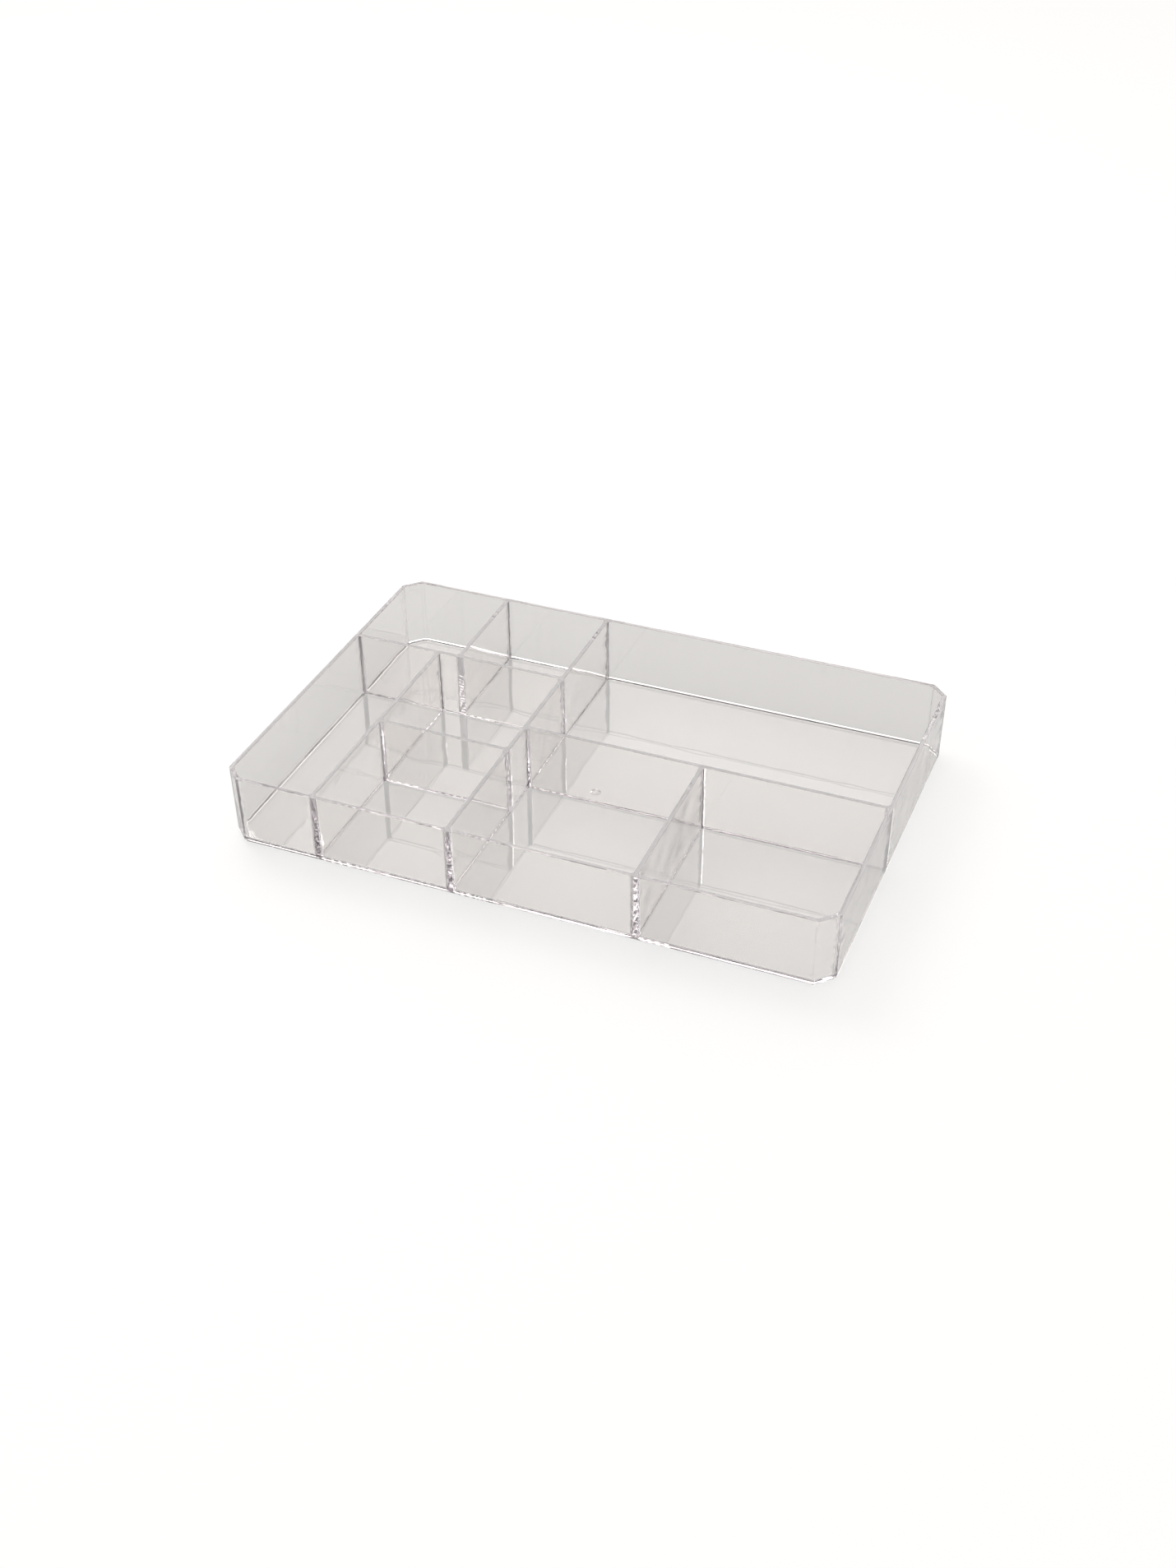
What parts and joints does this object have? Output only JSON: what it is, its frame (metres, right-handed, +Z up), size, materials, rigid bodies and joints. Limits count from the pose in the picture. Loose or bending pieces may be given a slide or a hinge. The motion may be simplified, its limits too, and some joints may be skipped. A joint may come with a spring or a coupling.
{
  "type": "storage organizer",
  "caption": "Clear plastic vanity and drawer tray with cut corners, a stepped base and fixed upright dividers that form open-topped compartments.",
  "frame": {"origin": "centre of the footprint on the underside, where the tray stands on its surface", "axes": "+X along the tray's length, with the large compartment on the +X side; +Y towards the back, +Z up"},
  "size_m": [0.3048, 0.2032, 0.0376],
  "materials": {
    "clear_floor": "clear glossy moulded polystyrene",
    "clear_wall": "clear glossy moulded polystyrene",
    "clear_divider": "clear glossy moulded polystyrene"
  },
  "bodies": {
    "root": {"floor_plate": "clear_floor", "front_left_corner_wall": "clear_wall", "front_wall": "clear_wall", "front_right_corner_wall": "clear_wall", "right_wall": "clear_wall", "back_right_corner_wall": "clear_wall", "back_wall": "clear_wall", "back_left_corner_wall": "clear_wall", "left_wall": "clear_wall", "full_depth_divider": "clear_divider", "left_long_divider": "clear_divider", "front_right_divider": "clear_divider", "back_left_divider": "clear_divider", "back_row_divider": "clear_divider", "front_row_divider": "clear_divider", "right_row_divider": "clear_divider"}
  },
  "joints": []
}
